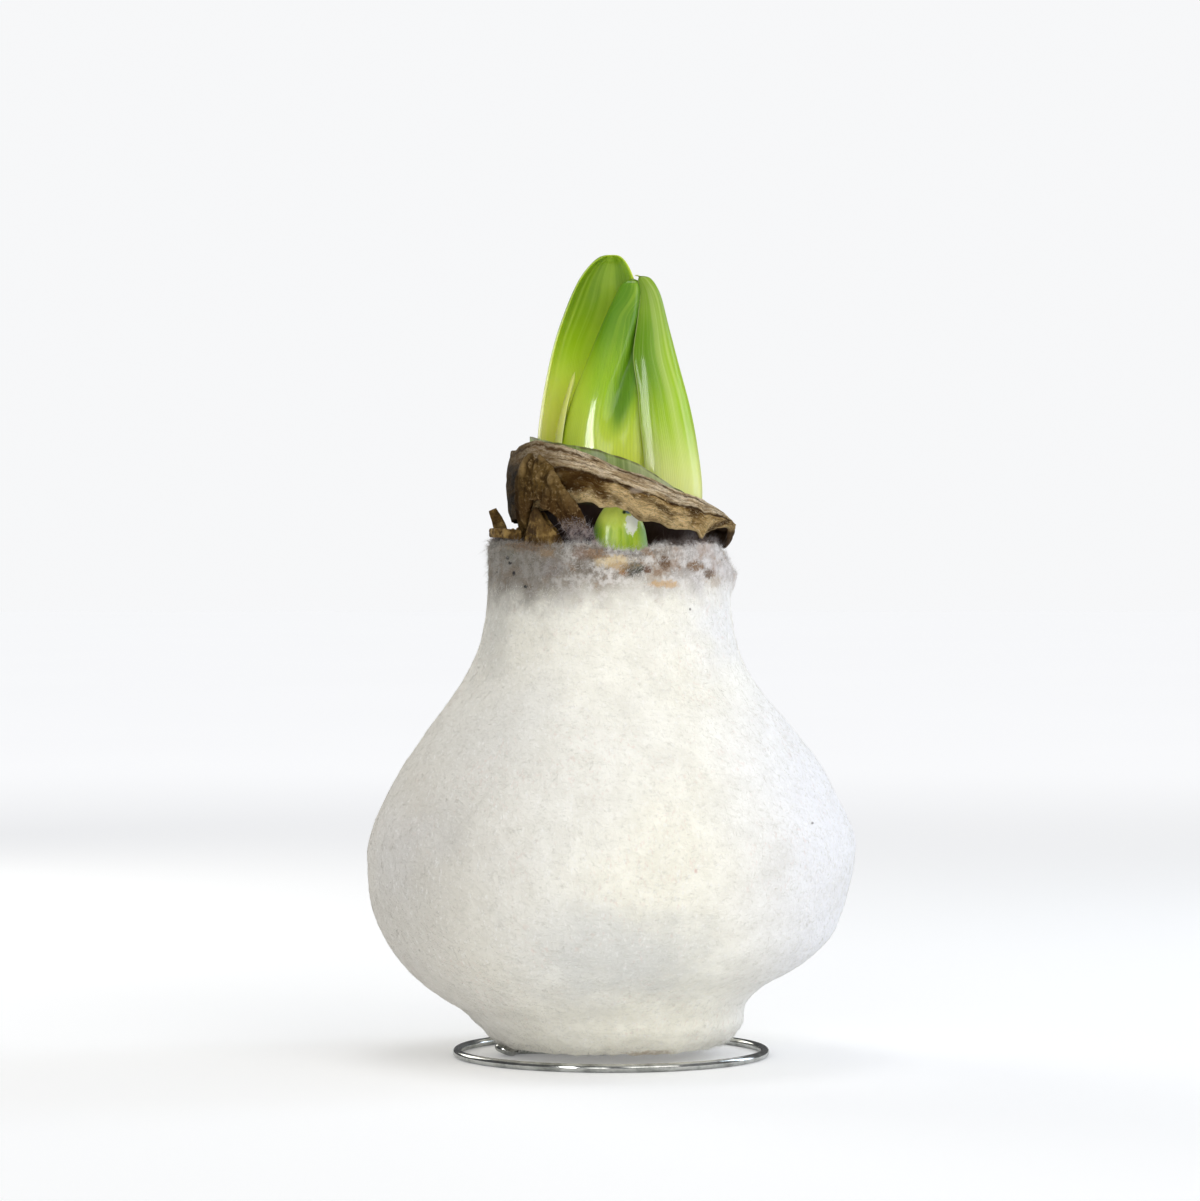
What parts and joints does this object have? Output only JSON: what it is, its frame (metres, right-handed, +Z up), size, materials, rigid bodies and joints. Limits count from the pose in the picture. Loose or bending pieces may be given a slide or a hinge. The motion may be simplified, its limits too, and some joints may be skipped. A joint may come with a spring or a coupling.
{
  "type": "waxed amaryllis bulb",
  "caption": "Round flower bulb in a white flocked wax coat, with green leaves and buds rising from a torn dry neck, standing on a wire ring.",
  "frame": {"origin": "on the floor, under the axis of the bulb", "axes": "+Z up along the bulb towards the leaf tips, -Y towards the side with the second bud, +X to the right of it"},
  "size_m": [0.1031, 0.1031, 0.1698],
  "materials": {
    "wire": "bright drawn wire",
    "flocked_wax": "matt white flock on wax",
    "bulb_skin": "dry papery skin",
    "dry_scale": "dry, brown and wrinkled",
    "thin_scale": "thin and half see-through",
    "leaf": "glossy leaf with fine lengthwise veins",
    "bud": "smooth, slightly waxy"
  },
  "bodies": {
    "root": {"wire_stand": "wire", "wax_coat": "flocked_wax", "bulb": "bulb_skin", "neck_scales": "dry_scale", "dry_collar": "dry_scale", "inner_scale": "thin_scale", "side_bud": "bud", "rim_bud": "bud", "leaf_front_right": "leaf", "leaf_front_left": "leaf", "leaf_inner": "leaf", "leaf_back": "leaf"}
  },
  "joints": []
}
